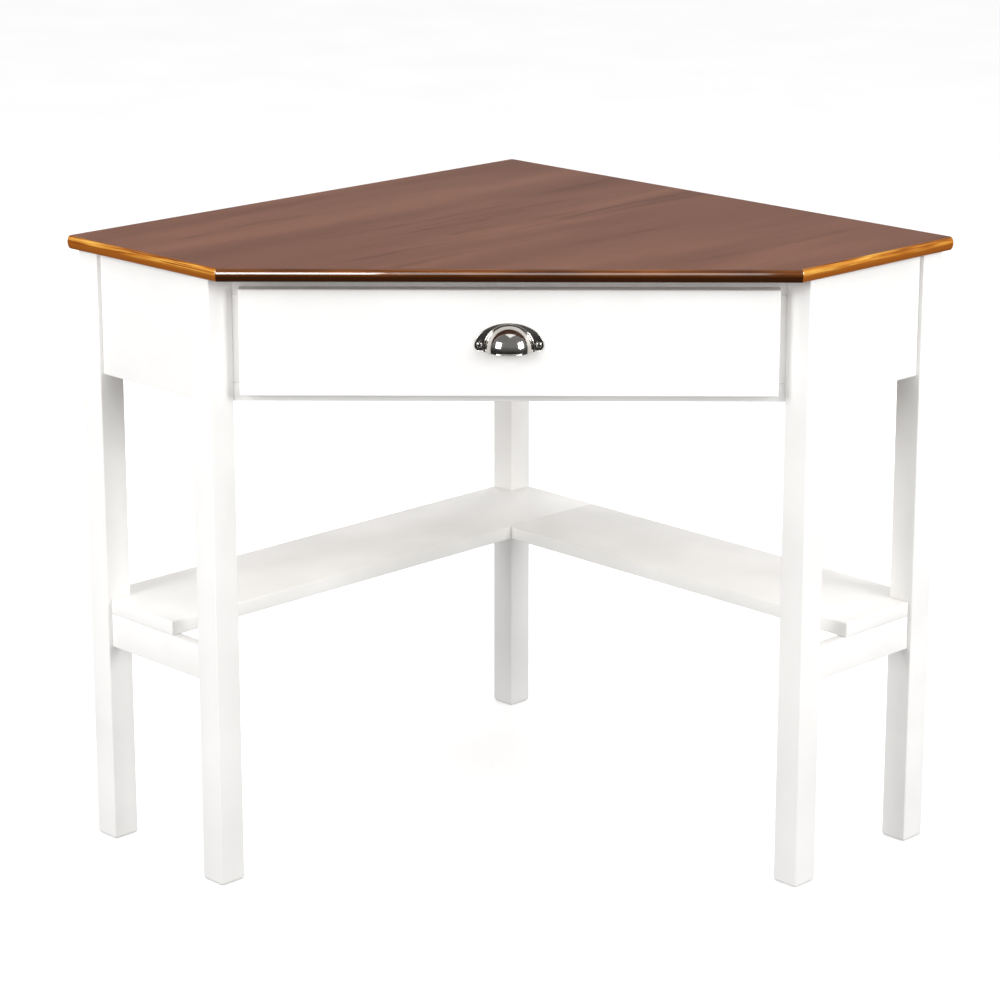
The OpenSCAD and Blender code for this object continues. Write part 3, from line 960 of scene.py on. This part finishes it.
# %% Give each face of the top its finish
FACE, FRONT, RISING, FALLING = range(4)
for material in (walnut, front_edge, rising_edge, falling_edge):
    desk_top.data.materials.append(material)
counts = [0, 0, 0, 0]
EDGE_TILT = 0.30
STRAIGHT_AHEAD = 0.93
for polygon in desk_top.data.polygons:
    flat = Vector((polygon.normal.x, polygon.normal.y))
    finish = FACE
    if flat.length > EDGE_TILT:
        flat.normalize()
        if flat.y < -STRAIGHT_AHEAD:
            finish = FRONT
        else:
            finish = FALLING if flat.x * flat.y > 0 else RISING
    polygon.material_index = finish
    counts[finish] += 1
print("Faces of veneer, front edge, rising and falling edges:", counts)

# %% [markdown]
# ## Finish: white satin paint
#
# Everything else that shows is sprayed with a white satin lacquer over primer. It is not
# one flat white: the film varies a little in tone and gloss over a hand's width, it has
# the fine orange-peel ripple of a spray gun, and it thins over sharp edges, where the
# warmer primer begins to show. The Bevel node finds those edges: it gives the normal that
# a rounded edge would have, and where that differs from the true normal there is an edge.

# %% Spray the white paint
paint, tree, shader, coords = start_material("white_satin_paint")
CLOUDS_PER_METRE = 9.0
RIPPLES_PER_METRE = 420.0
clouds = add(
    tree,
    "TexNoise",
    {"Vector": (coords, "Object"), "Scale": CLOUDS_PER_METRE, "Detail": 3.0},
)
peel = add(
    tree,
    "TexNoise",
    {"Vector": (coords, "Object"), "Scale": RIPPLES_PER_METRE, "Detail": 2.0},
)
film = add(
    tree,
    "ValToRGB",
    {"Fac": (clouds, "Fac")},
    stops=[(0.35, linear("#F1F0EE")), (0.65, linear("#F7F6F4"))],
)
rounded = add(tree, "Bevel", {"Radius": 0.0015}, samples=3)
true_normal = add(tree, "NewGeometry")
alike = add(
    tree,
    "VectorMath",
    {0: (rounded, "Normal"), 1: (true_normal, "Normal")},
    operation="DOT_PRODUCT",
)
edge_mask = add(
    tree,
    "MapRange",
    {"Value": (alike, "Value"), 1: 0.99, 2: 0.82, 3: 0.0, 4: 0.45},
)
worn = add(
    tree,
    "Mix",
    {0: (edge_mask, "Result"), MIX_A: (film, "Color"), MIX_B: linear("#E2DED7")},
    data_type="RGBA",
)
gloss = add(
    tree,
    "MapRange",
    {"Value": (clouds, "Fac"), 1: 0.3, 2: 0.7, 3: 0.36, 4: 0.44},
)
ripple = add(
    tree,
    "Bump",
    {"Strength": 0.15, "Distance": 0.00005, "Height": (peel, "Fac")},
)
tree.links.new(worn.outputs[MIX_RESULT], shader.inputs["Base Color"])
tree.links.new(gloss.outputs["Result"], shader.inputs["Roughness"])
tree.links.new(ripple.outputs["Normal"], shader.inputs["Normal"])
shader.inputs["IOR"].default_value = 1.48

# %% [markdown]
# ## Finish: pale drawer wood
#
# Inside, the drawer box and the boards that carry its slides are bare poplar, sanded and
# sealed. Its growth rings show as soft, uneven streaks a centimetre or two wide. A
# Wave texture would draw them as regular as ribs, so a stretched noise makes them, and
# fibres run over them. One function makes it for boards that run front to back and for
# boards that run across.

# %% Plane the pale wood
GROWTH_RINGS = (0.38, 0.016)
BOARD_FIBRES = (0.03, 0.0009)


def pale_wood(name, turn, dark, light):
    material, tree, shader, coords = start_material(name)
    bands = add(
        tree,
        "TexNoise",
        {
            "Vector": (grain(tree, coords, turn, *GROWTH_RINGS), "Vector"),
            "Scale": 1.0,
            "Detail": 3.0,
            "Distortion": 0.6,
        },
    )
    fibres = add(
        tree,
        "TexNoise",
        {
            "Vector": (grain(tree, coords, turn, *BOARD_FIBRES), "Vector"),
            "Scale": 1.0,
            "Detail": 2.0,
        },
    )
    tone = add(
        tree,
        "ValToRGB",
        {"Fac": (bands, "Fac")},
        stops=[(0.35, light), (0.68, dark)],
    )
    fibre_tone = add(
        tree,
        "ValToRGB",
        {"Fac": (fibres, "Fac")},
        stops=[(0.25, grey(0.88)), (0.75, grey(1.05))],
    )
    colour = add(
        tree,
        "Mix",
        {0: 1.0, MIX_A: (tone, "Color"), MIX_B: (fibre_tone, "Color")},
        data_type="RGBA",
        blend_type="MULTIPLY",
    )
    rough = add(
        tree, "MapRange", {"Value": (fibres, "Fac"), 1: 0.3, 2: 0.7, 3: 0.50, 4: 0.62}
    )
    bump = add(
        tree,
        "Bump",
        {"Strength": 0.3, "Distance": 0.0001, "Height": (fibres, "Fac")},
    )
    tree.links.new(colour.outputs[MIX_RESULT], shader.inputs["Base Color"])
    tree.links.new(rough.outputs["Result"], shader.inputs["Roughness"])
    tree.links.new(bump.outputs["Normal"], shader.inputs["Normal"])
    shader.inputs["IOR"].default_value = 1.45
    return material


POPLAR = (linear("#C4A67C"), linear("#DCC49D"))
poplar_long = pale_wood("poplar_front_to_back", math.pi / 2, *POPLAR)
poplar_cross = pale_wood("poplar_across", 0.0, *POPLAR)
beech = pale_wood("beech_dowel_wood", 0.0, linear("#C09468"), linear("#D6B084"))

# %% [markdown]
# ## Finishes: zinc-plated steel and polished nickel
#
# The slides, brackets and hidden screws are zinc-plated steel: metallic, pale and a bit
# cloudy, with rolling marks a millimetre apart. The pull is polished nickel over pressed
# brass: warm silver and nearly a mirror, with the faint waviness of buffed sheet and a
# slightly duller film in patches where fingers have touched it.

# %% Plate the metals
ROLLING_MARKS = (0.05, 0.001)


def plated_metal(name, dark, light, smooth, dull, cell, wave_height):
    material, tree, shader, coords = start_material(name)
    film = add(
        tree,
        "TexNoise",
        {"Vector": (coords, "Object"), "Scale": 1 / cell, "Detail": 4.0},
    )
    marks = add(
        tree,
        "TexNoise",
        {
            "Vector": (grain(tree, coords, math.pi / 2, *ROLLING_MARKS), "Vector"),
            "Scale": 1.0,
            "Detail": 2.0,
        },
    )
    tone = add(
        tree,
        "ValToRGB",
        {"Fac": (film, "Fac")},
        stops=[(0.35, dark), (0.65, light)],
    )
    rough = add(
        tree,
        "MapRange",
        {"Value": (film, "Fac"), 1: 0.35, 2: 0.65, 3: smooth, 4: dull},
    )
    bump = add(
        tree,
        "Bump",
        {"Strength": 0.2, "Distance": wave_height, "Height": (marks, "Fac")},
    )
    tree.links.new(tone.outputs["Color"], shader.inputs["Base Color"])
    tree.links.new(rough.outputs["Result"], shader.inputs["Roughness"])
    tree.links.new(bump.outputs["Normal"], shader.inputs["Normal"])
    shader.inputs["Metallic"].default_value = 1.0
    return material


zinc = plated_metal(
    "zinc_plated_steel",
    linear("#A9ABAA"),
    linear("#C6C8C8"),
    0.28,
    0.40,
    0.012,
    0.00005,
)
nickel = plated_metal(
    "polished_nickel_plate",
    linear("#C9C5BF"),
    linear("#D8D5D0"),
    0.06,
    0.13,
    0.02,
    0.00001,
)

# %% Give every piece its finish
finish_of_slot = {
    "white_paint": paint,
    "zinc_steel": zinc,
    "polished_nickel": nickel,
    "beech_dowel": beech,
    "drawer_wood": poplar_long,
}
for piece in pieces.values():
    if piece is not desk_top:
        piece.data.materials.append(finish_of_slot[piece["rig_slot"]])

print("Finished", len(pieces), "pieces that were made again")

# %% [markdown]
# The pieces that stay as the CAD made them are the bare wood and metal parts: drawer box,
# runner boards, slides, brackets, dowels and screws. Their meshes stay as they are and
# only their material slots are filled.

# %% Dress the carried-over pieces
KEPT = {
    poplar_long: ("drawer_side_", "runner_board_"),
    poplar_cross: ("drawer_back", "drawer_bottom"),
    beech: ("leg_dowels", "frame_dowels", "shelf_dowels", "drawer_dowels"),
    zinc: (
        "slide_",
        "top_brackets",
        "shelf_brackets",
        "bracket_screws",
        "shelf_screws",
        "drawer_screws",
    ),
}
dressed = 0
for name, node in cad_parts.items():
    if node.hide_render:
        continue
    finish = next(m for m, starts in KEPT.items() if name.startswith(starts))
    if node.material_slots:
        for slot in node.material_slots:
            slot.material = finish
    else:
        node.data.materials.append(finish)
    dressed += 1
print("Dressed", dressed, "carried-over pieces")

# %% [markdown]
# ## The studio
#
# The desk stands on a wide white floor. The floor is there for the eye only: it is left
# out of reflections, and it throws no light back, so that the undersides and the line
# under the drawer stay a little dark. It glows slightly, which keeps it plain white.

# %% Lay the floor
bpy.ops.mesh.primitive_plane_add(size=60, location=(0, 0, 0))
floor = bpy.context.object
floor.name = "studio_floor"
white_floor, tree, shader, coords = start_material("white_floor")
specks = add(
    tree,
    "TexNoise",
    {"Vector": (coords, "Object"), "Scale": 3.0, "Detail": 2.0},
)
floor_tone = add(
    tree,
    "ValToRGB",
    {"Fac": (specks, "Fac")},
    stops=[(0.3, linear("#FAFAFA")), (0.7, linear("#FDFDFD"))],
)
tree.links.new(floor_tone.outputs["Color"], shader.inputs["Base Color"])
shader.inputs["Roughness"].default_value = 0.9
shader.inputs["Specular IOR Level"].default_value = 0.0
shader.inputs["Emission Color"].default_value = grey(1.0)
shader.inputs["Emission Strength"].default_value = 0.12
floor.data.materials.append(white_floor)
floor.visible_glossy = False
floor.visible_diffuse = False

# %% [markdown]
# The sky is a plain gradient, bright above and dimmer towards the horizon. Shiny surfaces
# see a darker sky of their own, which a Light Path node hands them: it keeps the
# lacquered wood and the nickel from washing out, as black cloths do in a real studio.

# %% Light the sky
SKY_LOW, SKY_HIGH = 0.52, 0.95
MIRRORED_LOW, MIRRORED_HIGH = 0.04, 0.25

world = bpy.data.worlds.new("studio_sky")
bpy.context.scene.world = world
world.use_nodes = True
tree = world.node_tree
direction = add(tree, "TexCoord")
height = add(tree, "SeparateXYZ", {0: (direction, "Generated")})
glow = add(
    tree,
    "MapRange",
    {"Value": (height, "Z"), 1: 0.0, 2: 0.8, 3: SKY_LOW, 4: SKY_HIGH},
)
mirrored = add(
    tree,
    "MapRange",
    {"Value": (height, "Z"), 1: -0.15, 2: 0.30, 3: MIRRORED_LOW, 4: MIRRORED_HIGH},
)
ray = add(tree, "LightPath")
strength = add(
    tree,
    "Mix",
    {0: (ray, "Is Glossy Ray"), 2: (glow, "Result"), 3: (mirrored, "Result")},
    data_type="FLOAT",
)
tree.links.new(strength.outputs[0], tree.nodes["Background"].inputs["Strength"])
tree.nodes["Background"].inputs["Color"].default_value = grey(1.0)
print("The sky has", len(tree.nodes), "nodes")

# %% [markdown]
# Large softboxes to the front left, the front right and overhead light the white paint
# evenly, and their squares show in the polished cup. A box behind the desk lights the
# sides that face the walls, without a reflection. Three smaller boxes are there only to
# be mirrored, each in one piece: two draw the bright line along the top's front edge,
# strongest at the left, and one low box draws the line on the pull's lip. A real
# photographer shades such small lights with cards; here each is linked to its piece.

# %% Hang the softboxes


def softbox(name, place, aim, size, power, gloss_only=False, reflect=True):
    """A rectangular softbox that faces the point it is aimed at."""
    bpy.ops.object.light_add(type="AREA", location=place)
    lamp = bpy.context.object
    lamp.name = name
    lamp.data.shape = "RECTANGLE"
    lamp.data.size, lamp.data.size_y = size
    lamp.data.energy = power
    turn = (Vector(place) - Vector(aim)).to_track_quat("Z", "Y")
    lamp.rotation_euler = turn.to_euler()
    lamp.visible_camera = False
    lamp.visible_diffuse = not gloss_only
    lamp.visible_glossy = reflect
    return lamp


DESK_MIDDLE = (0, 0, 0.5)
softbox("front_left_box", (-2.8, -2.6, 1.8), DESK_MIDDLE, (1.6, 1.6), 80)
softbox("front_right_box", (3.0, -2.2, 1.7), DESK_MIDDLE, (1.5, 1.5), 80)
softbox("top_box", (0.2, -0.2, 3.2), DESK_MIDDLE, (2.4, 2.4), 20)
softbox("back_box", (0.3, 3.0, 1.5), (0, 0, 0.3), (2.6, 1.4), 46, reflect=False)
EDGE_LEFT_END, EDGE_MIDDLE = (-0.3, -0.36, 0.75), (0.1, -0.36, 0.75)
PULL_LIP = (0.0, -0.35, 0.66)
softbox(
    "edge_line_box",
    (-0.95, -2.4, 1.10),
    EDGE_LEFT_END,
    (1.3, 0.65),
    50,
    gloss_only=True,
)
softbox(
    "edge_glow_box",
    (0.16, -2.4, 1.10),
    EDGE_MIDDLE,
    (0.9, 0.7),
    8,
    gloss_only=True,
)
softbox(
    "lip_line_box",
    (0.0, -0.95, 0.25),
    PULL_LIP,
    (2.0, 0.15),
    6,
    gloss_only=True,
)

# %% Link the small boxes to their pieces
for piece, lamps in (
    (desk_top, ("edge_line_box", "edge_glow_box")),
    (cup_pull, ("lip_line_box",)),
):
    lit_alone = bpy.data.collections.new("light_for_" + piece.name)
    lit_alone.objects.link(piece)
    for name in lamps:
        bpy.data.objects[name].light_linking.receiver_collection = lit_alone

# %% [markdown]
# ## Last step
#
# The dressed desk must keep the CAD's size. The last step only clears the selection.

# %% Clear the selection
clear_selection()
